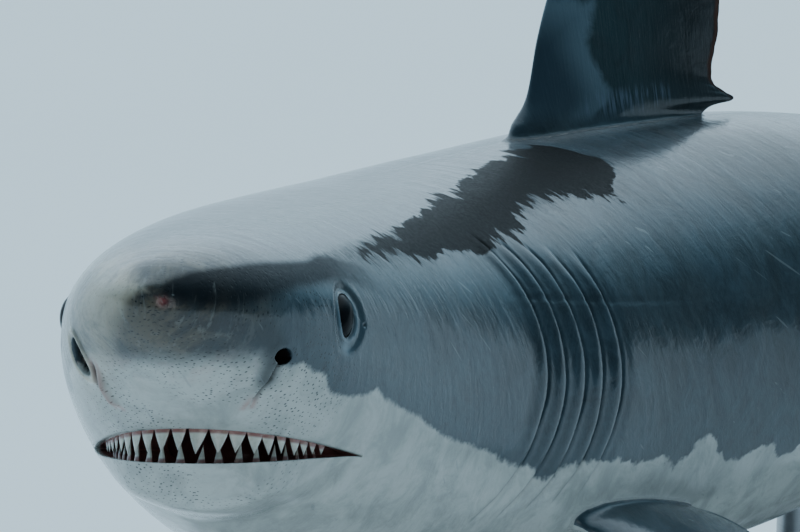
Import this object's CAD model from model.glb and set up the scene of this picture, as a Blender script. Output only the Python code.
"""A great white shark as a still, life-size display model on a plain stand.

The shark is drawn straight first. A point there has a station (distance behind the snout tip),
an offset to the shark's left and a height over its axis, all in metres. The same pose that bends
the solids then bends the skin.
"""
import math
import bpy
import numpy as np
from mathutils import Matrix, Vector


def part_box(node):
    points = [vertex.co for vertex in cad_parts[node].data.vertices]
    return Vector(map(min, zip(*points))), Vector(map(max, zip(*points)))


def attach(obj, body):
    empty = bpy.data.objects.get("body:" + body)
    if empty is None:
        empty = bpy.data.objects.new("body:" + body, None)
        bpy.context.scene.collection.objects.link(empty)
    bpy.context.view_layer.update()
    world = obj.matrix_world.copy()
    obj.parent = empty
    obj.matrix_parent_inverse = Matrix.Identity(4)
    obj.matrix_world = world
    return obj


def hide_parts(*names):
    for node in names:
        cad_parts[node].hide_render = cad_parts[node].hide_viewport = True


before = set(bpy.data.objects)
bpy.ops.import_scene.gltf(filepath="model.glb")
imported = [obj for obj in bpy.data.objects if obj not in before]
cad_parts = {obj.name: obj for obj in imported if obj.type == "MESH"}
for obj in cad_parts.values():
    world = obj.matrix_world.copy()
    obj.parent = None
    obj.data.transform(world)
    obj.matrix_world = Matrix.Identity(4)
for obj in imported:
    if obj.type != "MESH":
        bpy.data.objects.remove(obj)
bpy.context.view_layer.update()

# ------------------------------------------------------------------ the shark's own sizes
LENGTH = 4.0
PROFILE = np.array([                       # station, height, depth, half width (shares of length)
    [0.000, 0.0000, 0.0000, 0.0000],
    [0.005, 0.0100, 0.0100, 0.0125],
    [0.015, 0.0165, 0.0165, 0.0225],
    [0.037, 0.0265, 0.0270, 0.0365],       # nostrils
    [0.070, 0.0385, 0.0435, 0.0485],       # eyes
    [0.110, 0.0500, 0.0590, 0.0580],       # corners of the mouth
    [0.160, 0.0605, 0.0700, 0.0670],
    [0.220, 0.0700, 0.0790, 0.0750],       # gills
    [0.300, 0.0800, 0.0870, 0.0820],
    [0.380, 0.0860, 0.0920, 0.0840],       # greatest girth
    [0.460, 0.0830, 0.0880, 0.0800],
    [0.560, 0.0680, 0.0710, 0.0650],       # pelvic fins
    [0.660, 0.0490, 0.0500, 0.0460],
    [0.750, 0.0300, 0.0310, 0.0285],       # anal fin
    [0.810, 0.0180, 0.0185, 0.0165],       # root of the tail fin
    [0.870, 0.0050, 0.0050, 0.0035],       # end of the flesh inside the tail fin
])
KEEL_FROM, KEEL_MIDDLE, KEEL_TO, KEEL_REACH, KEEL_SHARPNESS = 0.70, 0.79, 0.86, 0.0125, 14
NECK, TRUNK, TAIL, FLESH_END = 0.08, 0.42, 0.80, 0.868
HEADING = (-32.2, 2.5, 20.5)               # degrees at neck, trunk and tail
PITCH = (34.0, 8.2, 1.0)
ROLL = (5.1, 8.8, 8.8)
BALANCE_STATION, BALANCE_HEIGHT, BALANCE_ASIDE = 0.385, 0.850, -0.070

MOUTH_LEVEL, MOUTH_CORNER = -0.0345, 0.108
GAPE, GAPE_SOFTNESS, CHIN = 12, 0.006, 0.006
EYE_STATION, EYE_LEVEL, EYE_TILT = 0.0702, 0.0050, math.radians(21)
EYE_LONG, EYE_TALL, EYE_DEEP, EYE_PROUD, SOCKET_ROOM = 0.051, 0.067, 0.044, 0.0030, 0.0012
EYE_OPEN = 0.80                            # share of the ball's outline that shows between the rims
GILL_COUNT, GILL_FIRST, GILL_STEP, GILL_BOW = 5, 0.228, 0.0145, 0.024
GILL_LOW, GILL_HIGH, GILL_MIDDLE = -42, 50, 5

# ------------------------------------------------------------------ small mathematics
def smooth_step(low, high, value):
    share = np.clip((value - low) / (high - low), 0, 1)
    return share * share * (3 - 2 * share)


def bump(value, width):
    """A rounded bump, 1 at 0 and almost nothing beyond twice its width."""
    return np.exp(-(value / width) ** 2)


def monotone_curve(xs, ys):
    """A smooth curve through the rows of a table, with no overshoot between them."""
    xs, ys = np.asarray(xs, float), np.asarray(ys, float)
    steps = np.diff(xs)
    rises = np.diff(ys) / steps
    slopes = np.empty(len(xs))
    slopes[0], slopes[-1] = rises[0], rises[-1]
    for k in range(1, len(xs) - 1):
        if rises[k - 1] * rises[k] <= 0:
            slopes[k] = 0
            continue
        before, after = 2 * steps[k] + steps[k - 1], steps[k] + 2 * steps[k - 1]
        slopes[k] = (before + after) / (before / rises[k - 1] + after / rises[k])

    def curve(x):
        x = np.asarray(x, float)
        k = np.clip(np.searchsorted(xs, x) - 1, 0, len(xs) - 2)
        h = steps[k]
        t = (x - xs[k]) / h
        start = (1 + 2 * t) * (1 - t) ** 2 * ys[k] + t * (1 - t) ** 2 * h * slopes[k]
        end = t * t * (3 - 2 * t) * ys[k + 1] + t * t * (t - 1) * h * slopes[k + 1]
        return start + end
    return curve


def spline_points(points, shares):
    """Uniform Catmull-Rom through a few points, read at shares of its whole run."""
    points = np.asarray(points, float)
    last = len(points) - 1
    run = np.asarray(shares) * last
    k = np.clip(np.floor(run).astype(int), 0, last - 1)
    t = (run - k)[:, None]
    before, here = points[np.maximum(k - 1, 0)], points[k]
    after, beyond = points[np.minimum(k + 1, last)], points[np.minimum(k + 2, last)]
    leave, arrive = (after - before) / 2, (beyond - here) / 2
    cubic = 2 * here - 2 * after + leave + arrive
    square = -3 * here + 3 * after - 2 * leave - arrive
    return cubic * t ** 3 + square * t ** 2 + leave * t + here


HASH_SEED, HASH_AXIS, HASH_AXIS_STEP, HASH_MIX = 374761393, 668265263, 362437, 1274126177


def lattice_noise(points, seed):
    """Smooth value noise in 0..1 at each point, from a hash of the lattice's corners."""
    points = np.asarray(points, float)
    base = np.floor(points).astype(np.int64)
    part = points - base
    part = part * part * (3 - 2 * part)
    total = np.zeros(len(points))
    for corner in range(2 ** points.shape[1]):
        bits = [(corner >> axis) & 1 for axis in range(points.shape[1])]
        mixed = np.full(len(points), seed * HASH_SEED, np.int64)
        weight = np.ones(len(points))
        for axis, bit in enumerate(bits):
            mixed = mixed ^ ((base[:, axis] + bit) * (HASH_AXIS + HASH_AXIS_STEP * axis))
            mixed = mixed * HASH_MIX & 0x7FFFFFFF
            mixed ^= mixed >> 13
            weight *= part[:, axis] if bit else 1 - part[:, axis]
        total += weight * ((mixed & 0xFFFF) / 65535)
    return total


# ------------------------------------------------------------------ the straight body
_profile = [monotone_curve(np.sqrt(PROFILE[:, 0]), PROFILE[:, column]) for column in (1, 2, 3)]


def profile_at(station):
    root = np.sqrt(np.maximum(station, 0))
    return [curve(root) for curve in _profile]


def skin_section(station, angle):
    """Offset and height (shares of length) of the skin; angle 0 is the left side, 90 the back."""
    top, bottom, half = profile_at(station)
    keel = KEEL_REACH * smooth_step(KEEL_FROM, KEEL_MIDDLE, station)
    keel = keel * (1 - smooth_step(KEEL_MIDDLE, KEEL_TO, station))
    side, up = np.cos(angle), np.sin(angle)
    aside = (half + keel * np.abs(side) ** KEEL_SHARPNESS) * side
    return aside, np.where(up > 0, top, bottom) * up


# ------------------------------------------------------------------ the pose
def along_spine(values, station):
    head, trunk, tail = values
    first = np.clip((station - NECK) / (TRUNK - NECK), 0, 1)
    second = np.clip((station - TRUNK) / (TAIL - TRUNK), 0, 1)
    return np.radians(head + (trunk - head) * first + (tail - trunk) * second)


def directions_at(station):
    station = np.asarray(station, float)
    heading, pitch, roll = (along_spine(values, station) for values in (HEADING, PITCH, ROLL))
    flat = np.zeros_like(heading)
    back = np.stack([np.sin(heading) * np.cos(pitch), np.cos(heading) * np.cos(pitch), -np.sin(pitch)], -1)
    level = np.stack([np.cos(heading), -np.sin(heading), flat], -1)
    upright = np.cross(level, back)
    cosine, sine = np.cos(roll)[..., None], np.sin(roll)[..., None]
    return back, level * cosine + upright * sine, upright * cosine - level * sine


SPINE_STEP = 0.0025
_middles = (np.arange(int(1 / SPINE_STEP)) + 0.5) * SPINE_STEP
_spine = np.vstack([np.zeros(3), np.cumsum(directions_at(_middles)[0] * SPINE_STEP * LENGTH, axis=0)])


def spine_point(station):
    station = np.asarray(station, float)
    steps = np.clip(station / SPINE_STEP, 0, len(_spine) - 2)
    k = np.floor(steps).astype(int)
    point = _spine[k] + (_spine[k + 1] - _spine[k]) * (steps - k)[..., None]
    return point + directions_at(station)[0] * (np.minimum(station, 0) * LENGTH)[..., None]


_origin = spine_point(BALANCE_STATION) - np.array([BALANCE_ASIDE, 0, BALANCE_HEIGHT])


def posed(station, aside, height):
    """Flesh bends with the spine. All three are shares of the length."""
    _, left, up = directions_at(station)
    across = left * np.asarray(aside)[..., None] + up * np.asarray(height)[..., None]
    return spine_point(station) - _origin + across * LENGTH


def posed_stiff(root, station, aside, height):
    """A stiff part keeps the directions of its root."""
    back, left, up = directions_at(root)
    away = (np.asarray(station) - root)[..., None] * back
    away = away + np.asarray(aside)[..., None] * left + np.asarray(height)[..., None] * up
    return spine_point(root) - _origin + away * LENGTH


# ------------------------------------------------------------------ meshes
def new_object(name, vertices, *groups):
    """A mesh object from its vertices and groups of faces, each group an array of one face size."""
    mesh = bpy.data.meshes.new(name)
    vertices = np.asarray(vertices, np.float32)
    groups = [np.asarray(group, np.int32) for group in groups]
    sizes = np.concatenate([np.full(len(group), group.shape[1], np.int32) for group in groups])
    corners = np.concatenate([group.ravel() for group in groups])
    mesh.vertices.add(len(vertices))
    mesh.vertices.foreach_set("co", vertices.ravel())
    mesh.loops.add(len(corners))
    mesh.loops.foreach_set("vertex_index", corners)
    mesh.polygons.add(len(sizes))
    mesh.polygons.foreach_set("loop_start", np.concatenate([[0], np.cumsum(sizes)[:-1]]).astype(np.int32))
    mesh.update(calc_edges=True)
    mesh.validate()
    made = bpy.data.objects.new(name, mesh)
    bpy.context.scene.collection.objects.link(made)
    return made


def vertices_of(thing):
    flat = np.empty(len(thing.data.vertices) * 3, np.float32)
    thing.data.vertices.foreach_get("co", flat)
    return flat.reshape(-1, 3).astype(float)


def set_vertices(thing, vertices):
    thing.data.vertices.foreach_set("co", np.asarray(vertices, np.float32).ravel())
    thing.data.update()


def edges_of(thing):
    flat = np.empty(len(thing.data.edges) * 2, np.int32)
    thing.data.edges.foreach_get("vertices", flat)
    return flat.reshape(-1, 2)


def tube_faces(rings, around):
    """Quads between rings of equal count, closed round, wound outward for rings that run backwards."""
    ring, turn = np.meshgrid(np.arange(rings - 1), np.arange(around), indexing="ij")
    here, following = ring * around + turn, ring * around + (turn + 1) % around
    quads = np.stack([here, here + around, following + around, following], -1)
    return quads.reshape(-1, 4)


def capped_tube(name, points, rings, around):
    """Closed rings with a fan at each end, to the last two points."""
    k, final = np.arange(around), (rings - 1) * around
    first_tip = np.full(around, rings * around)
    nose = np.stack([first_tip, k, (k + 1) % around], -1)
    end = np.stack([first_tip + 1, final + (k + 1) % around, final + k], -1)
    return new_object(name, points, tube_faces(rings, around), nose, end)


def combine(target, tool, operation):
    """Joins or cuts two closed objects and deletes the tool."""
    modifier = target.modifiers.new("combine", "BOOLEAN")
    modifier.operation, modifier.solver, modifier.object = operation, "MANIFOLD", tool
    depsgraph = bpy.context.evaluated_depsgraph_get()
    made = bpy.data.meshes.new_from_object(target.evaluated_get(depsgraph))
    target.modifiers.clear()
    old = target.data
    target.data = made
    bpy.data.meshes.remove(old)
    bpy.data.objects.remove(tool)


def evened(values, pairs, share, rounds):
    """Values at the vertices (one column or more), each drawn by its share to its neighbours' mean."""
    near = np.unique(pairs[(share[pairs] > 0).any(axis=1)])
    index = np.full(len(values), -1)
    index[near] = np.arange(len(near))
    inner = pairs[(index[pairs] >= 0).all(axis=1)]
    a, b = index[inner[:, 0]], index[inner[:, 1]]
    count = np.maximum(np.bincount(a, minlength=len(near)) + np.bincount(b, minlength=len(near)), 1)
    columns = values if values.ndim == 2 else values[:, None]
    local, weight = columns[near], share[near][:, None] * 0.6
    for _ in range(rounds):
        total = np.stack([
            np.bincount(a, local[b, column], len(near)) + np.bincount(b, local[a, column], len(near))
            for column in range(columns.shape[1])
        ], -1)
        local = local + (total / count[:, None] - local) * weight
    result = columns.copy()
    result[near] = local
    return result if values.ndim == 2 else result[:, 0]


def relax(thing, share, rounds):
    """Evens out the vertices, each by its share (0..1)."""
    set_vertices(thing, evened(vertices_of(thing), edges_of(thing), share, rounds))


def gathered(things):
    """Several meshes as one object."""
    keep = things[0]
    with bpy.context.temp_override(active_object=keep, selected_editable_objects=things):
        bpy.ops.object.join()
    return keep


# ------------------------------------------------------------------ relief of the skin
def lateral_angle(aside, height):
    """Degrees over (+) or under (-) the side, the same on both sides."""
    return np.degrees(np.arctan2(height, np.abs(aside)))


def gill_relief(station, angle):
    """Each slit lies under the free edge of a soft flap. Returns the relief and how deep in a slit."""
    relief, slit = np.zeros_like(station), np.zeros_like(station)
    bow = GILL_BOW * ((angle - GILL_MIDDLE) / 50) ** 2
    for index in range(GILL_COUNT):
        high, low = GILL_HIGH - 2.5 * index, GILL_LOW + 3.0 * index
        ends = smooth_step(low, low + 14, angle) * (1 - smooth_step(high - 14, high, angle))
        waver = lattice_noise(np.stack([angle / 9, 0 * angle + index * 7.3], -1), 23) - 0.5
        behind = (station - (GILL_FIRST + GILL_STEP * index - bow)) * LENGTH - 0.005 * waver
        cut = np.where(behind < 0, bump(behind, 0.0028), bump(behind, 0.0080)) * ends
        relief += 0.0036 * bump(behind + 0.015, 0.017) * ends - 0.0018 * bump(behind - 0.018, 0.015) * ends
        relief -= (0.0085 + 0.006 * waver) * cut
        seen = np.where(behind < 0, bump(behind, 0.0014), bump(behind, 0.0050 + 0.003 * waver))
        slit = np.maximum(slit, seen * ends)
    return relief, slit


def near_path(points, path):
    """Distance from each point to a path of straight runs, and the share of the path there."""
    best, share = np.full(len(points), np.inf), np.zeros(len(points))
    path = np.asarray(path, float)
    for k, (start, end) in enumerate(zip(path[:-1], path[1:])):
        run = end - start
        part = np.clip(((points - start) @ run) / (run @ run), 0, 1)
        distance = np.linalg.norm(points - start - part[:, None] * run, axis=1)
        closer = distance < best
        best[closer] = distance[closer]
        share[closer] = ((k + part) / (len(path) - 1))[closer]
    return best, share


def on_skin(station, angle):
    aside, height = skin_section(np.asarray(station, float), np.radians(np.asarray(angle, float)))
    return np.stack([aside, np.asarray(station, float), height], -1) * LENGTH


def angle_at_level(station, level):
    top, bottom, _ = profile_at(station)
    return math.degrees(math.asin(level / (top if level > 0 else bottom)))


EYE_PLACE = on_skin(EYE_STATION, angle_at_level(EYE_STATION, EYE_LEVEL))
EYE_CENTRE = EYE_PLACE + [EYE_PROUD - EYE_DEEP / 2, 0, 0]
# Station and angle of the groove from each nostril, of the grey smudge before it and of small marks.
NOSTRIL_GROOVES = {
    1: [(0.0390, -28), (0.0400, -35), (0.0421, -41), (0.0430, -48), (0.0456, -54), (0.0480, -58)],
    -1: [(0.0300, -28), (0.0332, -36), (0.0371, -41), (0.0428, -45), (0.0472, -50), (0.0498, -56)],
}
NOSTRIL_SMUDGE = [(0.0265, -15), (0.0330, -22), (0.0370, -34), (0.0405, -43)]
NOSTRIL_SIZES = {                           # station, level, half length, half height, tilt in degrees
    1: (0.0393, -0.0128, 0.0155, 0.0115, 0), -1: (0.0398, -0.0130, 0.0205, 0.0290, -38),
}
WAN = np.array([[0.000, 10], [0.0016, -2], [0.0043, -26], [0.0104, -33], [0.0188, -41], [0.0265, -42]])
SPIRACLE = (0.0804, 6)
SCAR, KNOB = (0.0005, -40), (0.0004, 110)   # both on the snout's tip
BROW = np.array([                          # station, lower and upper angle of the dark brow
    [0.000, -15, 60], [0.004, -14, 46], [0.010, -9, 38], [0.020, 2, 34], [0.032, 9, 33], [0.042, 14, 32],
    [0.058, 18, 32], [0.070, 21, 36], [0.083, 21, 34], [0.104, 19, 31], [0.120, 18, 28],
])


def nostril_axes(side):
    """Where a nostril lies on the left half, and its axes: into the head, along it, and up."""
    station, level, _, _, tilt = NOSTRIL_SIZES[side]
    inward = np.array([-0.92, 0.36, 0.14])
    inward /= np.linalg.norm(inward)
    along = np.cross([0, 0, 1], inward)
    along /= np.linalg.norm(along)
    upward = np.cross(inward, along)
    cosine, sine = math.cos(math.radians(tilt)), math.sin(math.radians(tilt))
    axes = np.stack([inward, cosine * along + sine * upward, cosine * upward - sine * along], 1)
    return on_skin(station, angle_at_level(station, level)), axes


def face_relief(points, station, side):
    """Nostril groove and flap, the eye's rim and folds, for points of one side mirrored to the left."""
    groove, share = near_path(points, on_skin(*zip(*NOSTRIL_GROOVES[side])))
    cut = bump(groove, 0.0026) * (1 - smooth_step(0.75, 1.0, share))
    cut = cut if side > 0 else cut * smooth_step(0.22, 0.42, share)
    medial = [(s - 0.0009, a - 4) for s, a in NOSTRIL_GROOVES[side]]
    flap, flap_share = near_path(points, on_skin(*zip(*medial)))
    ridge = bump(flap, 0.0055) * (1 - smooth_step(0.8, 1.0, flap_share))
    relief = -0.0065 * cut + (0.0032 if side > 0 else 0.0080 * smooth_step(0.25, 0.60, flap_share)) * ridge
    late = 0.60 if side > 0 else 0.05
    pink = bump(np.minimum(groove, flap), 0.0046) * smooth_step(late, late + 0.25, flap_share)
    dark = cut * (1 - smooth_step(0.70, 0.95, share))
    place, axes = nostril_axes(side)
    _, along, upward = ((points - place) @ axes).T
    long, tall = NOSTRIL_SIZES[side][2:4]
    out = (np.hypot(along / long, upward / tall) - 1) * tall
    relief += (0.0008 if side > 0 else 0.0034) * bump(out - 0.0050, 0.0050)
    cream = 0.85 * bump(out - 0.0045, 0.0075) * (side < 0)
    away = points - EYE_PLACE
    turned_s = away[:, 1] * math.cos(EYE_TILT) - away[:, 2] * math.sin(EYE_TILT)
    turned_z = away[:, 1] * math.sin(EYE_TILT) + away[:, 2] * math.cos(EYE_TILT)
    long, tall = EYE_OPEN * EYE_LONG / 2, EYE_OPEN * EYE_TALL / 2
    ring = np.sqrt((turned_s / long) ** 2 + (turned_z / tall) ** 2)
    out = (ring - 1) * long
    front = 0.45 + 0.55 * (1 - smooth_step(-0.8, 0.3, turned_s / long))
    relief -= 0.0054 * (1 - smooth_step(-0.002, 0.026, out))
    relief += 0.0036 * bump(out - 0.0035, 0.0036) * front
    relief -= 0.0016 * bump(out - 0.0120, 0.0030) * front
    relief += 0.0010 * bump(out - 0.0190, 0.0050) * front
    rim = bump(out - 0.0030, 0.0040) * front
    below = np.linalg.norm(points - on_skin(0.0690, -6.5), axis=1)
    spot = np.linalg.norm(points - on_skin(*SPIRACLE), axis=1)
    relief -= 0.003 * bump(spot, 0.0028)
    dark = np.maximum(dark, bump(spot, 0.0026))
    smudge, _ = near_path(points, on_skin(*zip(*NOSTRIL_SMUDGE)))
    angle = lateral_angle(points[:, 0], points[:, 2])
    wan = smooth_step(-16, 24, angle - np.interp(station, WAN[:, 0], WAN[:, 1])) * (side < 0)
    wan = wan * (1 - smooth_step(30, 66, angle)) * smooth_step(0.000, 0.014, points[:, 0])
    cream = np.maximum(cream, 0.46 * wan * (1 - smooth_step(0.030, 0.085, station)))
    low, high = (np.interp(station, BROW[:, 0], BROW[:, column]) for column in (1, 2))
    run = np.radians(1) * np.maximum(points[:, 0], 0.02)
    brow = smooth_step(-0.009, 0.012, (angle - low) * run)
    brow = brow * smooth_step(-0.004, 0.008, (high - angle) * run)
    brow = brow * smooth_step(0.002, 0.016, points[:, 0]) * (side > 0)
    return relief, {
        "cream": cream, "pink": pink, "dark": dark,
        "pale": np.maximum(0.8 * rim, 0.7 * bump(below, 0.011)),
        "smudge": 1 - smooth_step(0.004, 0.026, smudge),
        "brow": brow * (1 - smooth_step(0.060, 0.120, station)),
    }


_chart_stations = np.linspace(0, 1, 4001) ** 2
_chart_radius = (profile_at(_chart_stations)[0] + profile_at(_chart_stations)[1]) / 2
_chart_run = np.concatenate([[0], np.cumsum(np.hypot(np.diff(_chart_stations), np.diff(_chart_radius)))])


def surface_chart(station, angle):
    """Metres along the skin from the snout tip, and round it from the side, the same left and right."""
    run = np.interp(station, _chart_stations, _chart_run) * LENGTH
    round_ = np.radians(angle) * np.interp(station, _chart_stations, _chart_radius) * LENGTH
    return np.stack([run, round_, 0 * run], -1)


DRAINED = np.array([                       # the patch of the back where the film of water has drained
    [0.108, 38, 39], [0.137, 39, 49], [0.156, 35, 51], [0.180, 42, 56], [0.208, 37, 62],
    [0.228, 44, 66], [0.245, 45, 70], [0.265, 56, 75], [0.300, 57, 80], [0.335, 54, 84], [0.352, 66, 70],
])


def dull_patch(points, station, angle):
    """Metres inside (+) or outside (-) the drained patch on the left of the back."""
    low = np.interp(station, DRAINED[:, 0], DRAINED[:, 1])
    high = np.interp(station, DRAINED[:, 0], DRAINED[:, 2])
    inside = np.radians(np.minimum(angle - low, high - angle)) * 0.24
    ends = np.minimum(station - DRAINED[0, 0], DRAINED[-1, 0] - station) * LENGTH
    return np.where(points[:, 0] > 0, np.minimum(inside, ends), -0.3)


def skin_stations():
    """Closely spaced rings where the face and gills need them."""
    root = np.arange(0.012, 0.11, 0.0055) ** 2
    stretches = [
        (0.0121, 0.030, 0.0006), (0.030, 0.085, 0.00045), (0.085, 0.125, 0.0006), (0.125, 0.197, 0.0011),
        (0.197, 0.300, 0.0006), (0.300, 0.700, 0.0023), (0.700, FLESH_END, 0.0018),
    ]
    parts = [root] + [np.arange(start, end, step) for start, end, step in stretches]
    stations = np.concatenate(parts)
    return np.append(stations, FLESH_END)


AROUND = 480


def make_body():
    """The body as one closed tube with the relief of face, gills and flanks, still straight."""
    stations = skin_stations()
    angles = (np.arange(AROUND) + 0.5) / AROUND * 2 * math.pi - math.pi / 2
    station, turn = np.meshgrid(stations, angles, indexing="ij")
    aside, height = skin_section(station, turn)
    points = np.stack([aside, station, height], -1) * LENGTH
    along, across = np.gradient(points, axis=0), np.gradient(points, axis=1)
    across[:, 0] = (points[:, 1] - points[:, -1]) / 2
    across[:, -1] = (points[:, 0] - points[:, -2]) / 2
    normals = np.cross(across, along)
    normals /= np.linalg.norm(normals, axis=-1, keepdims=True) + 1e-12
    centre = np.stack([np.zeros_like(aside), station * LENGTH, np.zeros_like(aside)], -1)
    if ((points - centre) * normals).sum() < 0:
        normals = -normals
    flat = points.reshape(-1, 3)
    where = station.ravel()
    angle = lateral_angle(flat[:, 0], flat[:, 2])
    relief, groove = gill_relief(where, angle)
    marks = {name: np.zeros(len(flat)) for name in ("cream", "pink", "dark", "pale", "smudge", "brow")}
    for side in (1, -1):
        part = (where < 0.13) & (flat[:, 0] * side > 0)
        face, found = face_relief(flat[part] * [side, 1, 1], where[part], side)
        relief[part] += face
        for name, values in found.items():
            marks[name][part] = values
    swell = lattice_noise(flat * np.array([9, 5, 9]), 3) - 0.5
    relief += 0.0035 * swell * smooth_step(0.10, 0.25, where)
    line = angle - np.interp(where, [0.19, 0.45, 0.80], [26, 20, 4])
    relief -= 0.0010 * bump(line * np.abs(flat[:, 0]) / 57, 0.0035) * smooth_step(0.2, 0.24, where)
    notch = bump((where - 0.797) * LENGTH, 0.014) * bump(np.abs(np.abs(angle) - 90), 22)
    relief -= 0.008 * notch
    tip = np.linalg.norm(flat - on_skin(*SCAR), axis=1)
    knob = np.linalg.norm(flat - on_skin(*KNOB), axis=1)
    relief -= 0.0018 * bump(tip, 0.006) - 0.0030 * bump(knob, 0.011)
    marks["scar"] = bump(tip, 0.0060)
    marks["groove"] = groove
    marks["chart"] = surface_chart(where, angle)
    marks["dull"] = dull_patch(flat, where, angle)
    vertices = flat + normals.reshape(-1, 3) * relief[:, None]
    vertices = np.vstack([vertices, [[0, 0, 0]], [[0, FLESH_END * LENGTH + 0.004, 0]]])
    body = capped_tube("shark_skin", vertices, len(stations), AROUND)
    return body, {name: np.concatenate([values, values[:1], values[-1:]]) for name, values in marks.items()}


# ------------------------------------------------------------------ mouth, nostrils and eye sockets
LIP_EDGE, GUM_EDGE, PALATE_RISE, FLOOR_DEPTH, SLIT = 0.010, 0.030, 0.046, 0.009, 0.0010


def rim_depth(station, aside):
    """How far inside the lips' outline a point of the mouth's level plane lies, in metres."""
    step = 0.0004

    def field(s, x):
        _, low, wide = profile_at(s)
        return 1 - (MOUTH_LEVEL / low) ** 2 - (x / wide) ** 2

    value = field(station, aside)
    slope_s = (field(station + step, aside) - field(station - step, aside)) / (2 * step)
    slope_x = (field(station, aside + step) - field(station, aside - step)) / (2 * step)
    return value / np.maximum(np.hypot(slope_s, slope_x), 1e-3) * LENGTH


def mouth_cutter():
    """A closed leaf: a thin slit at the lips that opens inside into the mouth's roof and floor."""
    step = 0.0030 / LENGTH
    stations = np.arange(0.0465, MOUTH_CORNER + step / 2, step)
    asides = np.arange(-0.0570, 0.0570 + step / 2, step)
    station, aside = np.meshgrid(stations, asides, indexing="ij")
    inside = rim_depth(station, aside)
    closing = smooth_step(MOUTH_CORNER, MOUTH_CORNER - 0.012, station)
    roof = SLIT + (0.003 * smooth_step(LIP_EDGE, LIP_EDGE + 0.004, inside)
                   + PALATE_RISE * smooth_step(GUM_EDGE - 0.006, GUM_EDGE + 0.022, inside)) * closing
    floor = SLIT + (0.002 * smooth_step(LIP_EDGE, LIP_EDGE + 0.004, inside)
                    + FLOOR_DEPTH * smooth_step(GUM_EDGE - 0.004, GUM_EDGE + 0.014, inside)) * closing
    level = MOUTH_LEVEL * LENGTH
    upper = np.stack([aside * LENGTH, station * LENGTH, level + roof], -1).reshape(-1, 3)
    lower = np.stack([aside * LENGTH, station * LENGTH, level - floor], -1).reshape(-1, 3)
    rows, columns = station.shape
    r, c = np.meshgrid(np.arange(rows - 1), np.arange(columns - 1), indexing="ij")
    here = (r * columns + c).ravel()
    quads = np.stack([here, here + 1, here + columns + 1, here + columns], -1)
    count = rows * columns
    border = np.concatenate([
        np.arange(columns - 1), np.arange(columns - 1, count - 1, columns),
        np.arange(count - 1, count - columns, -1), np.arange(count - columns, 0, -columns),
    ])
    following = np.roll(border, -1)
    wall = np.stack([border, border + count, following + count, following], -1)
    faces = np.vstack([quads, quads[:, ::-1] + count, wall])
    return new_object("mouth_cutter", np.vstack([upper, lower]), faces)


def ellipsoid(name, centre, radii, turn=None, around=64, rings=40):
    """A closed ellipsoid with its poles along its first axis."""
    k, j = np.meshgrid(np.arange(1, rings), np.arange(around), indexing="ij")
    polar, round_ = k / rings * math.pi, j / around * 2 * math.pi
    shape = np.stack([np.cos(polar), np.sin(polar) * np.cos(round_), np.sin(polar) * np.sin(round_)], -1)
    points = np.vstack([shape.reshape(-1, 3), [[1, 0, 0]], [[-1, 0, 0]]]) * np.asarray(radii)
    if turn is not None:
        points = points @ np.asarray(turn).T
    return outward(capped_tube(name, points + np.asarray(centre), rings - 1, around))


def outward(thing):
    """Turns a closed object's faces to point out."""
    points = vertices_of(thing)
    thing.data.calc_loop_triangles()
    corners = np.empty(len(thing.data.loop_triangles) * 3, np.int32)
    thing.data.loop_triangles.foreach_get("vertices", corners)
    a, b, c = points[corners.reshape(-1, 3).T]
    if (a * np.cross(b, c)).sum() < 0:
        thing.data.flip_normals()
    return thing


def store(thing, fields):
    for name, values in fields.items():
        values = np.asarray(values, np.float32)
        kind = "FLOAT_VECTOR" if values.ndim == 2 else "FLOAT"
        layer = thing.data.attributes.get(name) or thing.data.attributes.new(name, kind, "POINT")
        layer.data.foreach_set("vector" if values.ndim == 2 else "value", values.ravel())


def read(thing, name):
    layer = thing.data.attributes[name]
    wide = 3 if layer.data_type == "FLOAT_VECTOR" else 1
    flat = np.empty(len(thing.data.vertices) * wide, np.float32)
    layer.data.foreach_get("vector" if wide == 3 else "value", flat)
    return flat.reshape(-1, 3).astype(float) if wide == 3 else flat.astype(float)


def eye_turn():
    """Axes of the tilted eye: out of the head, along it, and up."""
    cosine, sine = math.cos(EYE_TILT), math.sin(EYE_TILT)
    return np.array([[1, 0, 0], [0, cosine, sine], [0, -sine, cosine]])


def carve_face(body):
    """Cuts the mouth, its throat, the nostrils and the eye sockets."""
    combine(body, outward(mouth_cutter()), "DIFFERENCE")
    throat = np.array([0, 0.115, MOUTH_LEVEL + 0.002]) * LENGTH
    tools = [ellipsoid("throat", throat, (0.085, 0.120, 0.036))]
    for side in (1, -1):
        mirror = np.diag([side, 1, 1])
        place, axes = nostril_axes(side)
        centre = mirror @ (place + axes[:, 0] * 0.006)
        radii = (0.026, *NOSTRIL_SIZES[side][2:4])
        tools.append(ellipsoid("nostril", centre, radii, mirror @ axes, 40, 24))
        radii = np.array([EYE_DEEP, EYE_LONG, EYE_TALL]) / 2 + SOCKET_ROOM
        tools.append(ellipsoid("socket", mirror @ EYE_CENTRE, radii, mirror @ eye_turn()))
    combine(body, gathered(tools), "DIFFERENCE")


def jaw_drop(station):
    ahead = np.maximum(0, MOUTH_CORNER - station)
    return math.tan(math.radians(GAPE)) * ahead * ahead / (ahead + GAPE_SOFTNESS)


def chin_drop(station, height):
    """How much lower the chin hangs than the throat's own curve."""
    whole = np.maximum(profile_at(station)[1] + MOUTH_LEVEL, 1e-4)
    chin = CHIN * (1 - smooth_step(0.072, MOUTH_CORNER, station)) * smooth_step(0, 0.012, whole)
    return chin * smooth_step(0, 0.55, np.maximum(MOUTH_LEVEL - height, 0) / whole)


def open_jaw(station, height):
    """The lower jaw hangs open, with its fuller chin."""
    lower = height < MOUTH_LEVEL
    return height - lower * (jaw_drop(station) + chin_drop(station, height))


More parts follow.
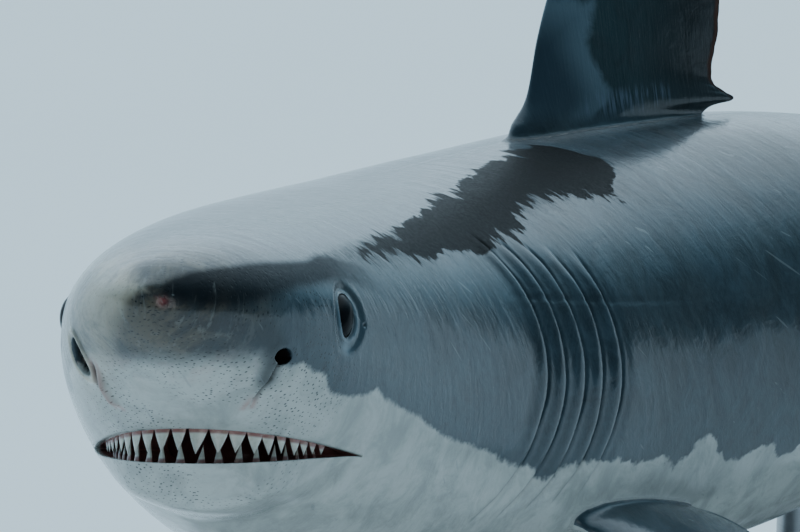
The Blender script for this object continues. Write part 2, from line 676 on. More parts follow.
def skin_depth(points):
    """How far a straight point lies under the body's plain outline, in metres."""
    station = points[:, 1] / LENGTH
    top, bottom, half = profile_at(station)
    tall = np.where(points[:, 2] > 0, top, bottom) * LENGTH + 1e-5
    wide = half * LENGTH + 1e-5
    reach = np.sqrt((points[:, 0] / wide) ** 2 + (points[:, 2] / tall) ** 2)
    radius = np.hypot(points[:, 0], points[:, 2])
    return radius * (1 / np.maximum(reach, 1e-3) - 1)


BORDER = np.array([                        # station, level of the border between grey and white
    [0.000, -0.0135], [0.005, -0.0155], [0.014, -0.0186], [0.018, -0.0186], [0.023, -0.0165],
    [0.031, -0.0146], [0.044, -0.0152], [0.048, -0.0131], [0.054, -0.0146], [0.062, -0.0152],
    [0.066, -0.0184], [0.070, -0.0200], [0.079, -0.0194], [0.090, -0.0166], [0.095, -0.0140],
    [0.102, -0.0158], [0.130, -0.0180], [0.160, -0.0220], [0.200, -0.0270], [0.250, -0.0290],
    [0.300, -0.0270], [0.400, -0.0290], [0.550, -0.0260], [0.700, -0.0150], [0.800, -0.0070],
    [0.870, -0.0020],
])


def shade_over_border(straight):
    """Metres above (+) or below (-) the border of grey and white on the body."""
    level = np.interp(straight[:, 1] / LENGTH, BORDER[:, 0], BORDER[:, 1])
    return straight[:, 2] - level * LENGTH


def finish_face(body):
    """Rounds the cut edges, notes the straight places, opens the jaw and bends the body."""
    straight = vertices_of(body)
    station, level = straight[:, 1] / LENGTH, MOUTH_LEVEL * LENGTH
    depth = skin_depth(straight)
    inside = smooth_step(0.004, 0.010, depth) * (station < 0.15)
    near_lips = (np.abs(straight[:, 2] - level) < 0.0075) & (depth < 0.009) & (station < MOUTH_CORNER)
    mirrored = straight * np.array([0, 1, 1]) + np.abs(straight[:, :1]) * np.array([1, 0, 0])
    nostril = np.linalg.norm(mirrored - on_skin(0.040, -27), axis=1)
    eye = np.linalg.norm(mirrored - EYE_PLACE, axis=1)
    softened = near_lips | (nostril < 0.026) | ((eye < 0.040) & (depth < 0.006))
    store(body, {
        "straight": straight,
        "mouth": inside * (nostril > 0.04) * (eye > 0.05),
        "hollow": smooth_step(0.003, 0.008, depth) * ((nostril < 0.03) | (eye < 0.05)),
        "shade": shade_over_border(straight), "edge": np.ones(len(straight)),
        **{name: np.zeros(len(straight)) for name in ("fin", "under", "origin", "reach")},
    })
    relax(body, softened.astype(float), 3)
    settled = vertices_of(body)
    lower = straight[:, 2] < level
    height = np.where(lower, np.minimum(settled[:, 2], level - 1e-5), np.maximum(settled[:, 2], level))
    within = station < MOUTH_CORNER
    height = np.where(within & (np.abs(straight[:, 2] - level) < 0.02), height, settled[:, 2]) / LENGTH
    opened = np.where(within, open_jaw(settled[:, 1] / LENGTH, height), height)
    set_vertices(body, posed(settled[:, 1] / LENGTH, settled[:, 0] / LENGTH, opened))


# ------------------------------------------------------------------ fins
FINS = {
    "first_dorsal_fin": dict(
        kind="midline", root=0.40, lean=8, thick=(0.062, 0.012), ragged=0.004,
        lead=[(0.335, -0.020), (0.331, 0.001), (0.346, 0.015), (0.3565, 0.037), (0.368, 0.056),
              (0.386, 0.079), (0.410, 0.099), (0.437, 0.111)],
        trail=[(0.452, -0.020), (0.454, 0.001), (0.4725, 0.006), (0.4615, 0.014), (0.4665, 0.034),
               (0.470, 0.056), (0.4665, 0.082), (0.454, 0.108)]),
    "second_dorsal_fin": dict(
        kind="midline", root=0.725, thick=(0.012, 0.004),
        lead=[(0.712, -0.008), (0.715, 0.001), (0.7225, 0.008), (0.730, 0.0145)],
        trail=[(0.727, -0.008), (0.732, 0.001), (0.7335, 0.007), (0.7355, 0.0135)]),
    "anal_fin": dict(
        kind="midline", under=True, root=0.745, thick=(0.012, 0.004),
        lead=[(0.736, -0.008), (0.738, 0.001), (0.746, 0.0085), (0.7545, 0.0145)],
        trail=[(0.751, -0.008), (0.754, 0.001), (0.7565, 0.007), (0.7595, 0.0135)]),
    "pectoral_fin": dict(
        kind="paired", root=0.315, aside=0.045, level=-0.036, droop=(27, 24), thick=(0.058, 0.009),
        lead=[(0.276, 0.0), (0.285, 0.030), (0.308, 0.068), (0.340, 0.108), (0.379, 0.145), (0.420, 0.172)],
        trail=[(0.354, 0.0), (0.359, 0.026), (0.375, 0.046), (0.381, 0.085), (0.402, 0.130),
               (0.433, 0.171)]),
    "pelvic_fin": dict(
        kind="paired", root=0.58, aside=0.020, level=-0.052, droop=(34, 34), thick=(0.026, 0.005),
        lead=[(0.560, 0.0), (0.563, 0.012), (0.577, 0.032), (0.592, 0.047)],
        trail=[(0.598, 0.0), (0.602, 0.014), (0.606, 0.030), (0.603, 0.0465)]),
    "tail_fin_upper": dict(
        kind="tail", root=0.80, thick=(0.034, 0.009),
        lead=[(0.797, -0.004), (0.804, 0.017), (0.824, 0.044), (0.856, 0.082), (0.895, 0.122),
              (0.944, 0.162)],
        trail=[(0.864, -0.004), (0.876, 0.014), (0.883, 0.036), (0.902, 0.070), (0.929, 0.113),
               (0.953, 0.157)]),
    "tail_fin_lower": dict(
        kind="tail", root=0.80, thick=(0.034, 0.009),
        lead=[(0.797, 0.004), (0.804, -0.017), (0.822, -0.042), (0.844, -0.075), (0.869, -0.107),
              (0.899, -0.136)],
        trail=[(0.864, 0.004), (0.873, -0.013), (0.876, -0.030), (0.885, -0.056), (0.898, -0.094),
               (0.908, -0.133)]),
}
EDGE_THICK = 0.003
PLAIN_ON_FINS = ("groove", "cream", "pink", "dark", "pale", "smudge", "brow", "scar", "mouth", "hollow")


def fin_mesh(name, fin, side=1):
    """A fin with a rounded nose and thin trailing edge, placed on the posed body."""
    reach = np.linalg.norm(np.diff(np.array(fin["lead"]), axis=0), axis=1).sum() * LENGTH
    spacing = 0.0055
    steps = max(14, int(reach / spacing))
    root_chord = np.ptp([point[0] for point in fin["lead"][:2] + fin["trail"][:2]]) * LENGTH
    chord_steps = max(12, int(root_chord / spacing * 0.8))
    shares = np.linspace(0, 1, steps + 1)
    front, rear = spline_points(fin["lead"], shares), spline_points(fin["trail"], shares)
    chord = (1 - np.cos(math.pi * np.arange(1, chord_steps + 1) / chord_steps)) / 2
    fullness = (fin["thick"][0] + (fin["thick"][1] - fin["thick"][0]) * shares) / LENGTH / 2
    thin = np.minimum(EDGE_THICK / LENGTH / 2, fullness)
    shape = np.minimum(2.6 * np.sqrt(chord) * (1 - chord) ** 0.9, 1)
    half = np.maximum(fullness[:, None] * shape[None, :], thin[:, None])
    flat = front[:, None, :] + (rear - front)[:, None, :] * chord[None, :, None]
    if "ragged" in fin:
        run = shares * reach
        nick = lattice_noise(np.stack([run / 0.013, 0 * run], 1), 11) * 0.6
        nick += lattice_noise(np.stack([run / 0.034, 0 * run], 1), 12)
        back_share = smooth_step(0.8, 1.0, chord)
        above = smooth_step(0.004, 0.02, front[:, 1])
        flat[:, :, 0] -= (nick * above)[:, None] * back_share[None, :] * fin["ragged"] / LENGTH
    along = np.concatenate([front[:, :1], flat[:, :, 0], flat[:, ::-1, 0]], 1)
    out = np.concatenate([front[:, 1:], flat[:, :, 1], flat[:, ::-1, 1]], 1)
    thick = np.concatenate([0 * front[:, :1], half, -half[:, ::-1]], 1)
    share = np.concatenate([0 * chord[:1], chord, chord[::-1]])
    along, out, thick = along.ravel(), out.ravel(), thick.ravel()
    chords = np.repeat(np.linalg.norm(rear - front, axis=1), len(share)) * LENGTH
    edge = (1 - np.tile(share, steps + 1)) * chords
    if fin["kind"] == "midline":
        _, left, up = directions_at(fin["root"])
        lean = math.radians(fin.get("lean", 0))
        away = (up * math.cos(lean) - left * math.sin(lean)) * (-1 if fin.get("under") else 1)
        top, bottom, _ = profile_at(along)
        foot = -bottom if fin.get("under") else top
        points = posed(along, thick, foot) + out[:, None] * LENGTH * away
        straight = np.stack([thick, along, foot + (-out if fin.get("under") else out)], -1) * LENGTH
        lower = np.zeros(len(along))
    elif fin["kind"] == "paired":
        droop = math.radians(fin["droop"][0 if side > 0 else 1])
        aside = side * (fin["aside"] + out * math.cos(droop) + thick * math.sin(droop))
        height = fin["level"] - out * math.sin(droop) + thick * math.cos(droop)
        points = posed_stiff(fin["root"], along, aside, height)
        straight = np.stack([aside, along, height], -1) * LENGTH
        lower = (thick < 0).astype(float)
    else:
        points = posed(along, thick, out)
        straight = np.stack([thick, along, out], -1) * LENGTH
        lower = np.zeros(len(along))
    around = len(share)
    rings = points.reshape(steps + 1, around, 3)
    made = capped_tube(name, np.vstack([points, rings[0].mean(0), rings[-1].mean(0)]), steps + 1, around)
    tip_edge = np.minimum(edge, np.repeat((1 - shares) * reach, around))
    grown = smooth_step(0.000, 0.010, out)
    shades = {"midline": -0.05 if fin.get("under") else 0.2, "tail": 0.2}
    shade = np.full(len(along), shades[fin["kind"]]) if fin["kind"] in shades else 0.05 - 0.1 * lower
    fields = {
        "straight": straight, "fin": grown, "edge": tip_edge, "under": lower * grown, "shade": shade,
        "reach": np.repeat(shares, around), "origin": np.ones(len(along)),
        "dull": np.full(len(along), -0.3), "chart": np.stack([along * LENGTH, out * LENGTH, 0 * out], -1),
        **{key: np.zeros(len(along)) for key in PLAIN_ON_FINS},
    }
    store(made, {key: np.concatenate([values, values[:1], values[-1:]]) for key, values in fields.items()})
    return outward(made)


def join_fins(body):
    """Grows the fins out of the body and rounds their roots."""
    made = {}
    for name, fin in FINS.items():
        for side in ((1, -1) if fin["kind"] == "paired" else (1,)):
            made[name, side] = fin_mesh(name, fin, side)
    last = made.pop(("tail_fin_lower", 1))
    combine(body, gathered(list(made.values())), "UNION")
    combine(body, last, "UNION")
    points, pairs = vertices_of(body), edges_of(body)
    origin = read(body, "origin")
    distance = np.full(len(points), 1.0)
    crossing = pairs[np.abs(origin[pairs[:, 0]] - origin[pairs[:, 1]]) > 0.5]
    distance[crossing.ravel()] = 0
    lengths = np.linalg.norm(points[pairs[:, 0]] - points[pairs[:, 1]], axis=1)
    for _ in range(14):
        np.minimum.at(distance, pairs[:, 0], distance[pairs[:, 1]] + lengths)
        np.minimum.at(distance, pairs[:, 1], distance[pairs[:, 0]] + lengths)
    small = smooth_step(0.60, 0.70, read(body, "straight")[:, 1] / LENGTH)
    share = 1 - smooth_step(0.3, 1.0, distance / (0.030 - 0.018 * small))
    rounds = 34
    set_vertices(body, evened(points, pairs, share, rounds))
    for name in ("fin", "under", "shade", "edge"):
        store(body, {name: evened(read(body, name), pairs, share * 0.8, rounds // 2)})


# ------------------------------------------------------------------ eyes and teeth
def make_eye(name, side):
    """A glossy eyeball in its socket, with its own place kept for the pupil."""
    mirror = np.diag([side, 1, 1])
    centre, turn = mirror @ EYE_CENTRE, mirror @ eye_turn()
    radii = np.array([EYE_DEEP, EYE_LONG, EYE_TALL]) / 2
    made = ellipsoid(name, centre, radii, turn, 96, 64)
    points = vertices_of(made)
    store(made, {"look": ((points - centre) @ turn) / radii})
    set_vertices(made, posed(points[:, 1] / LENGTH, points[:, 0] / LENGTH, points[:, 2] / LENGTH))
    smooth(made)
    return made


TOOTH_ROWS = {"upper": (20, 0.0035, 0.027, 0.028), "lower": (18, 0.0060, 0.015, 0.025)}
TOOTH_THICK, TOOTH_ROOT, TEETH_AROUND = 0.0062, 0.006, 0.74


def arch_point(share, inset):
    """A place on a jaw's arch, turned by its share (-1..1) of a quarter turn from straight ahead."""
    turn = share * math.pi / 2
    inside, outside = 0.0, 0.1
    for _ in range(30):
        reach = (inside + outside) / 2
        _, bottom, half = profile_at(MOUTH_CORNER - reach * math.cos(turn))
        if (MOUTH_LEVEL / bottom) ** 2 + (reach * math.sin(turn) / half) ** 2 < 1:
            inside = reach
        else:
            outside = reach
    reach = inside - inset
    return np.array([reach * math.sin(turn), MOUTH_CORNER - reach * math.cos(turn)]) * LENGTH


def make_teeth(name, count, inset, width, height, downward):
    """One jaw's row of flat, saw-edged triangles, each a little uneven."""
    levels, around = 30, 14
    v = np.linspace(0, 1, levels)
    turn = np.arange(around) / around * 2 * math.pi
    vertices, quads, ends = [], [], []
    for index in range(count):
        places = np.array([[index * 1.7, 0.3], [index * 2.3, 5.1], [index * 1.3, 9.7]])
        uneven = lattice_noise(places, 41 + downward) - 0.5
        share = ((index + 0.5 + 0.24 * uneven[2]) / count * 2 - 1) * TEETH_AROUND
        young = (index * 7 + 3) % 6 == 0
        shrink = (1 - 0.62 * abs(share) ** 1.6) * (0.84 if young else 1)
        here = arch_point(share, inset)
        room = 0.8 * float(jaw_drop(here[1] / LENGTH)) * LENGTH
        wide = width * shrink * (1 + 0.12 * uneven[2])
        tall = min(height * shrink, room) * (1 + 0.30 * uneven[0])
        tangent = arch_point(share + 0.02, inset) - arch_point(share - 0.02, inset)
        tangent /= np.linalg.norm(tangent)
        normal = np.array([-tangent[1], tangent[0]])
        saw = 0.00035 * np.abs((v * 16) % 1 - 0.5) * 2 * (v > 0.2)
        taper = (1 - v) ** (0.86 if downward else 1.15) * (1 + 0.1 * np.sin(v * math.pi))
        half = np.maximum(wide / 2 * taper + 0.0002 - saw, 0.0002)
        thick = TOOTH_THICK / 2 * (1 - v) ** 0.75 * shrink + 0.0002
        across = half[:, None] * np.cos(turn)
        through = thick[:, None] * np.sign(np.sin(turn)) * np.abs(np.sin(turn)) ** 1.3
        rise = -TOOTH_ROOT + v * (tall + TOOTH_ROOT)
        slant = 0.12 * np.sign(share) * np.maximum(rise, 0) * min(1, abs(share) * 2.5)
        across = across + (slant + 0.22 * uneven[1] * rise)[:, None]
        lean = 0.10 * np.maximum(rise, 0)[:, None]
        flat = here + across[..., None] * tangent + (through + lean)[..., None] * normal
        base = len(vertices) * levels * around
        heights = np.broadcast_to(rise[:, None, None], flat.shape[:2] + (1,))
        vertices.append(np.concatenate([flat, heights], -1))
        quads.append(tube_faces(levels, around) + base)
        ends.append(base + np.arange(around)[None, ::-1])
        ends.append(base + (levels - 1) * around + np.arange(around)[None, :])
    points = np.concatenate([piece.reshape(-1, 3) for piece in vertices])
    station, aside, rise = points[:, 1] / LENGTH, points[:, 0] / LENGTH, points[:, 2].copy()
    level = MOUTH_LEVEL + (-rise if downward else rise) / LENGTH
    if not downward:
        level = level - jaw_drop(station) - chin_drop(station, level)
    made = new_object(name, posed(station, aside, level), np.concatenate(quads), np.concatenate(ends))
    store(made, {"rise": rise})
    smooth(made, 50)
    return made


def smooth(thing, sharp_angle=None):
    """Smooth shading, except at edges sharper than an angle in degrees if one is given."""
    mesh = thing.data
    mesh.polygons.foreach_set("use_smooth", np.ones(len(mesh.polygons), bool))
    if sharp_angle is not None:
        mesh.set_sharp_from_angle(angle=math.radians(sharp_angle))
    mesh.update()


# ------------------------------------------------------------------ the stand
def stacked(name, points, around):
    """A closed object from rings, bottom to top, with a flat face at each end."""
    top = len(points) - around
    caps = np.stack([np.arange(around)[::-1], top + np.arange(around)])
    made = outward(new_object(name, points, tube_faces(len(points) // around, around), caps))
    smooth(made, 40)
    return made


def turned(name, outline, centre, around=72):
    """A turned part from (radius, height) points, from bottom to top."""
    outline = np.asarray(outline)
    turn = np.arange(around) / around * 2 * math.pi
    ring = np.stack([np.cos(turn), np.sin(turn)], -1)
    flat = outline[:, None, :1] * ring[None] + np.asarray(centre)[:2]
    heights = np.broadcast_to(outline[:, None, 1:], flat.shape[:2] + (1,))
    return stacked(name, np.concatenate([flat, heights], -1).reshape(-1, 3), around)


def rounded(radius, steps=5):
    """A quarter round from the side (1, 0) to the top (0, 1)."""
    turn = np.linspace(0, math.pi / 2, steps)
    return np.stack([np.cos(turn), np.sin(turn)], -1) * radius


def make_base():
    """A board with rounded corners and softened edges."""
    low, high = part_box("stand_base")
    size = np.array(high - low) / 2
    middle = (np.array(high) + np.array(low)) / 2
    corner, edge, steps = 0.120, 0.007, 14
    turn = np.linspace(0, math.pi / 2, steps)
    quarter = np.stack([np.cos(turn), np.sin(turn)], -1)
    rings = [(edge * 0.4, low[2]), (0, low[2] + edge * 0.4)]
    rings += [(edge - point[0], high[2] - edge + point[1]) for point in rounded(edge, 6)]
    points = []
    for inset, height in rings:
        ring = []
        for quadrant in range(4):
            cosine, sine = math.cos(quadrant * math.pi / 2), math.sin(quadrant * math.pi / 2)
            spin = np.array([[cosine, -sine], [sine, cosine]])
            sign = np.sign(spin @ np.array([1, 1]))
            ring.append(sign * (size[:2] - corner) + quarter @ spin.T * (corner - inset))
        ring = np.concatenate(ring) + middle[:2]
        points.append(np.concatenate([ring, np.full((len(ring), 1), height)], 1))
    return stacked("display_base", np.concatenate(points), len(points[0]))


ROD_RADIUS, FLANGE_RADIUS, FLANGE_THICK, SCREW_CIRCLE = 0.032, 0.090, 0.014, 0.066
SCREW = ((0.0080, -0.001), (0.0080, 0.0035), (0.0072, 0.0044), (0.0040, 0.0044), (0.0040, 0.0012))


def make_rod(name, node):
    """A steel rod on a screwed flange, up to the belly."""
    low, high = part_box(node)
    centre = (np.array(high) + np.array(low)) / 2
    foot = low[2]
    soft = rounded(0.003, 4)
    outline = [(FLANGE_RADIUS - 0.001, foot), (FLANGE_RADIUS, foot + 0.001)]
    outline += [(FLANGE_RADIUS - 0.003 + x, foot + FLANGE_THICK - 0.003 + z) for x, z in soft]
    weld = rounded(0.006, 5)[::-1]
    outline += [(ROD_RADIUS + 0.006 - x, foot + FLANGE_THICK + 0.006 - z) for x, z in weld]
    outline += [(ROD_RADIUS, high[2] - 0.004), (ROD_RADIUS - 0.004, high[2])]
    rod = turned(name, outline, centre)
    screws = []
    for k in range(4):
        turn = (k + 0.5) * math.pi / 2
        place = centre + np.array([math.cos(turn), math.sin(turn), 0]) * SCREW_CIRCLE
        top = foot + FLANGE_THICK
        head = [(radius, top + rise) for radius, rise in SCREW]
        screws.append(turned("screw", head, place, 24))
    return gathered([rod, *screws])


# ------------------------------------------------------------------ materials
def linear(red, green, blue):
    """A display colour, 0..255, as the shader's linear colour."""
    parts = [channel / 255 for channel in (red, green, blue)]
    parts = [c / 12.92 if c <= 0.04045 else ((c + 0.055) / 1.055) ** 2.4 for c in parts]
    return (*parts, 1.0)


class Paint:
    """A material being mixed from nodes."""

    def __init__(self, name):
        self.material = bpy.data.materials.new(name)
        self.material.use_nodes = True
        self.tree = self.material.node_tree
        self.shader = self.tree.nodes["Principled BSDF"]

    def node(self, kind, inputs=(), **settings):
        made = self.tree.nodes.new("ShaderNode" + kind)
        for name, value in settings.items():
            setattr(made, name, value)
        for key, value in dict(inputs).items():
            self.feed(made.inputs[key], value)
        return made

    def feed(self, socket, value):
        if isinstance(value, bpy.types.NodeSocket):
            self.tree.links.new(value, socket)
        else:
            socket.default_value = value

    def field(self, name, vector=False):
        return self.node("Attribute", attribute_name=name).outputs["Vector" if vector else "Fac"]

    def fields(self, *names):
        return [self.field(name) for name in names]

    def place(self):
        return self.node("TexCoord").outputs["Object"]

    def math(self, operation, first, second=0.0, clamp=False):
        made = self.node("Math", {0: first, 1: second}, operation=operation, use_clamp=clamp)
        return made.outputs[0]

    def times(self, first, second):
        return self.math("MULTIPLY", first, second)

    def plus(self, first, second):
        return self.math("ADD", first, second)

    def ramp(self, value, low, high, start=0.0, end=1.0):
        inputs = {"Value": value, "From Min": low, "From Max": high, "To Min": start, "To Max": end}
        return self.node("MapRange", inputs, interpolation_type="SMOOTHSTEP").outputs["Result"]

    def mix(self, share, first, second, blend="MIX"):
        made = self.node("Mix", data_type="RGBA", blend_type=blend)
        for key, value in ((0, share), (6, first), (7, second)):
            self.feed(made.inputs[key], value)
        return made.outputs[2]

    def over(self, colour, tone, strength, share):
        """The colour with a display tone laid over it where the share says."""
        return self.mix(self.times(share, strength), colour, linear(*tone))

    def rotated(self, vector, angle, axis=None):
        """The vector turned about the axis, or about z where none is given."""
        inputs = {"Vector": vector, "Angle": angle}
        if axis is None:
            return self.node("VectorRotate", inputs, rotation_type="Z_AXIS").outputs[0]
        inputs["Axis"] = axis
        return self.node("VectorRotate", inputs, rotation_type="AXIS_ANGLE").outputs[0]

    def stretched(self, vector, scale):
        return self.node("VectorMath", {0: vector, 1: scale}, operation="MULTIPLY").outputs[0]

    def noise(self, vector, scale, detail=3.0, rough=0.55, warp=0.0):
        inputs = {"Vector": vector, "Scale": scale, "Detail": detail, "Roughness": rough}
        return self.node("TexNoise", {**inputs, "Distortion": warp}).outputs[0]

    def dots(self, vector, scale, random=1.0):
        """Distance to scattered points of a flat chart, in cells."""
        inputs = {"Vector": vector, "Scale": scale, "Randomness": random}
        return self.node("TexVoronoi", inputs, voronoi_dimensions="2D").outputs["Distance"]

    def bumps(self, height, distance, strength=1.0, under=None):
        inputs = {"Height": height, "Distance": distance, "Strength": strength}
        if under is not None:
            inputs["Normal"] = under
        return self.node("Bump", inputs).outputs[0]

    def finish(self, **sockets):
        for name, value in sockets.items():
            self.feed(self.shader.inputs[name.replace("_", " ")], value)
        return self.material


def skin_paint():
    """Wet shark skin: grey back, white belly, mottling, pores, scars and the mouth's lining."""
    paint = Paint("wet_shark_skin")
    ramp, mix, over, times = paint.ramp, paint.mix, paint.over, paint.times
    plus, noise, stretched, bumps = paint.plus, paint.noise, paint.stretched, paint.bumps
    place, chart = paint.field("straight", vector=True), paint.field("chart", vector=True)
    parts = paint.node("SeparateXYZ", {0: place})
    along, height = parts.outputs["Y"], parts.outputs["Z"]
    shade, fin, edge, under, reach = paint.fields("shade", "fin", "edge", "under", "reach")
    cream, pale, pink, dark, groove = paint.fields("cream", "pale", "pink", "dark", "groove")
    smudge, brow, scar, dull = paint.fields("smudge", "brow", "scar", "dull")
    mouth, hollow = paint.fields("mouth", "hollow")
    broad = noise(place, 2.6, 4.0, 0.6, 0.4)
    mottle = noise(place, 15.0, 6.0, 0.66, 0.5)
    blotch = noise(place, 48.0, 4.0, 0.62)
    grain = noise(place, 260.0, 4.0, 0.7)
    streaks = noise(stretched(place, (70.0, 70.0, 9.0)), 1.0, 4.0, 0.62, 0.3)
    slanted = paint.rotated(chart, -0.45)
    runs = noise(stretched(slanted, (42.0, 5.0, 1.0)), 1.0, 5.0, 0.68, 0.4)
    front = ramp(along, 0.02, 0.17, 1.0, 0.0)

    # the dark back: warm grey in front, bluer along the sides
    back = mix(ramp(mottle, 0.34, 0.68), linear(26, 36, 42), linear(46, 61, 69))
    back = over(back, (50, 51, 48), 0.45, ramp(broad, 0.42, 0.66))
    back = over(back, (56, 77, 87), 0.45, ramp(shade, 0.0, 0.17, 1.0, 0.0))
    back = over(back, (19, 26, 30), 0.35, ramp(blotch, 0.50, 0.72))
    warm = mix(ramp(mottle, 0.40, 0.62), linear(45, 37, 29), linear(102, 88, 69))
    back = mix(times(front, 0.75), back, warm)
    back = over(back, (76, 92, 99), 0.16, ramp(runs, 0.50, 0.74))
    back = over(back, (72, 84, 89), 0.20, ramp(grain, 0.35, 0.75))

    # the white belly
    belly = mix(ramp(mottle, 0.36, 0.66), linear(188, 190, 184), linear(158, 161, 156))
    belly = over(belly, (150, 146, 138), 0.20, ramp(blotch, 0.52, 0.70))
    belly = over(belly, (160, 150, 142), 0.18, ramp(grain, 0.45, 0.8))
    rosy = times(front, ramp(noise(place, 24.0, 3.0, 0.55), 0.45, 0.62))
    belly = over(belly, (196, 156, 148), 0.35, rosy)

    # their border: soft on the snout, crisp and wavy farther back
    wobble = plus(noise(place, 22.0, 5.0, 0.62, 0.5), -0.5)
    crumbs = plus(noise(place, 150.0, 3.0, 0.6), -0.5)
    swing = plus(noise(place, 6.5, 3.0, 0.5, 0.4), -0.5)
    distance = plus(shade, times(wobble, ramp(along, 0.35, 1.2, 0.010, 0.040)))
    distance = plus(distance, times(crumbs, 0.009))
    distance = plus(distance, times(swing, ramp(along, 0.4, 1.2, 0.0, 0.15)))
    softness = ramp(along, 0.120, 0.185, 0.0190, 0.0045)
    colour = mix(ramp(paint.math("DIVIDE", distance, softness), -1.0, 1.0), belly, back)
    colour = over(colour, (36, 46, 50), 0.80, smudge)
    colour = over(colour, (10, 17, 22), 0.90, brow)

    # worn streaks down the snout
    worn = times(ramp(streaks, 0.54, 0.70), ramp(along, 0.03, 0.15, 1.0, 0.0))
    colour = over(colour, (136, 138, 134), 0.30, worn)

    # pores
    size = ramp(noise(place, 60.0, 2.0, 0.5), 0.35, 0.65, 0.00, 0.09)
    zone = times(ramp(noise(place, 9.0, 2.0, 0.5), 0.34, 0.46), ramp(along, 0.26, 0.34, 1.0, 0.0))
    pore = ramp(paint.math("SUBTRACT", paint.dots(chart, 128.0, 0.75), size), 0.02, 0.13, 1.0, 0.0)
    pore = times(pore, zone)
    colour = over(colour, (16, 21, 24), 0.85, pore)

    # a few old scratches
    scratch = paint.rotated(place, 0.6, (0.9, 0.1, 0.3))
    scratch = noise(stretched(scratch, (70.0, 2.6, 105.0)), 1.0, 2.0, 0.4)
    scratch = ramp(scratch, 0.735, 0.76)
    colour = over(colour, (130, 136, 136), 0.35, scratch)

    # the first dorsal fin: charcoal with a paler front, wrinkles at its foot and a reddish worn rim
    dorsal = times(fin, ramp(height, 0.28, 0.42))
    on_fin = mix(ramp(edge, 0.02, 0.26), linear(11, 12, 12), linear(33, 52, 55))
    on_fin = over(on_fin, (27, 34, 35), 0.5, ramp(mottle, 0.40, 0.66))
    leading = mix(ramp(edge, 0.33, 0.43), linear(80, 97, 106), linear(42, 57, 66))
    in_front = ramp(plus(edge, times(wobble, 0.06)), 0.305, 0.335)
    on_fin = mix(in_front, on_fin, leading)
    wrinkles = noise(stretched(place, (1.0, 170.0, 12.0)), 1.0, 3.0, 0.6)
    low = times(ramp(height, 0.350, 0.372), ramp(height, 0.385, 0.410, 1.0, 0.0))
    low = times(low, ramp(edge, 0.13, 0.20))
    low = times(low, ramp(edge, 0.35, 0.40, 1.0, 0.0))
    on_fin = over(on_fin, (92, 106, 122), 0.75, times(low, ramp(wrinkles, 0.46, 0.58)))
    colour = mix(times(dorsal, 0.92), colour, on_fin)
    rim = ramp(plus(edge, times(wobble, 0.012)), 0.005, 0.014, 1.0, 0.0)
    colour = over(colour, (78, 50, 40), 0.8, times(rim, dorsal))

    # black tips under the pectoral fins
    tipped = ramp(plus(reach, times(wobble, 0.16)), 0.80, 0.88)
    colour = over(colour, (24, 26, 27), 1.0, times(tipped, under))

    # where the film of water has drained: dull and dark
    ragged = ramp(noise(place, 7.0, 2.0, 0.5), 0.34, 0.66, 0.02, 0.15)
    drained = plus(dull, times(plus(runs, -0.5), ragged))
    drained = plus(drained, times(plus(mottle, -0.5), 0.05))
    drained = ramp(drained, 0.000, 0.004)
    colour = over(colour, (14, 12, 10), 0.96, drained)

    # paler snout, rims, flaps, scar, grooves, gills, nostrils and mouth
    cream = times(cream, ramp(mottle, 0.34, 0.58, 0.35, 1.0))
    colour = over(colour, (212, 199, 176), 1.0, cream)
    colour = over(colour, (132, 156, 168), 0.60, pale)
    colour = over(colour, (176, 140, 132), 0.70, pink)
    colour = over(colour, (134, 56, 58), 0.85, times(scar, ramp(blotch, 0.34, 0.56)))
    colour = over(colour, (18, 20, 22), 0.90, dark)
    colour = over(colour, (20, 18, 20), 0.80, groove)
    colour = over(colour, (14, 13, 13), 1.0, hollow)
    lining = over(linear(172, 122, 116), (126, 76, 74), 0.35, ramp(blotch, 0.4, 0.7))
    colour = mix(ramp(mouth, 0.25, 0.75), colour, lining)

    # fine relief, and the film of water over it
    normal = bumps(grain, 0.00035, 0.6)
    normal = bumps(mottle, 0.0035, 0.5, normal)
    normal = bumps(blotch, 0.0016, 0.5, normal)
    normal = bumps(paint.math("SUBTRACT", 1.0, pore), 0.0008, 0.7, normal)
    normal = bumps(times(wrinkles, dorsal), 0.0020, 0.6, normal)
    coat = paint.math("SUBTRACT", 0.95, times(drained, 0.95))
    coat = paint.math("SUBTRACT", coat, times(dorsal, 0.60))
    coat = paint.math("SUBTRACT", coat, times(brow, 0.86), clamp=True)
    film = bumps(runs, 0.0030, 0.45, bumps(mottle, 0.0022, 0.5))
    return paint.finish(
        Base_Color=colour, Roughness=ramp(grain, 0.3, 0.7, 0.42, 0.62), Specular_IOR_Level=0.10,
        Normal=normal, Coat_Weight=coat, Coat_Roughness=0.10, Coat_IOR=1.45, Coat_Normal=film)


def eye_paint():
    paint = Paint("eye_gloss")
    look = paint.field("look", vector=True)
    parts = paint.node("SeparateXYZ", {0: look})
    ring = paint.math("SQRT", paint.plus(paint.math("POWER", parts.outputs["Y"], 2.0),
                                         paint.math("POWER", parts.outputs["Z"], 2.0)))
    streaks = paint.noise(paint.stretched(look, (3.0, 9.0, 9.0)), 1.0, 4.0, 0.6)
    iris = paint.mix(streaks, linear(9, 10, 12), linear(24, 24, 26))
    colour = paint.mix(paint.ramp(ring, 0.40, 0.46), linear(3, 3, 4), iris)
    colour = paint.mix(paint.ramp(ring, 0.80, 0.90), colour, linear(20, 19, 19))
    return paint.finish(Base_Color=colour, Roughness=0.3, Specular_IOR_Level=0.02, Coat_Weight=0.2,
                        Coat_Roughness=0.015, Coat_IOR=1.34)


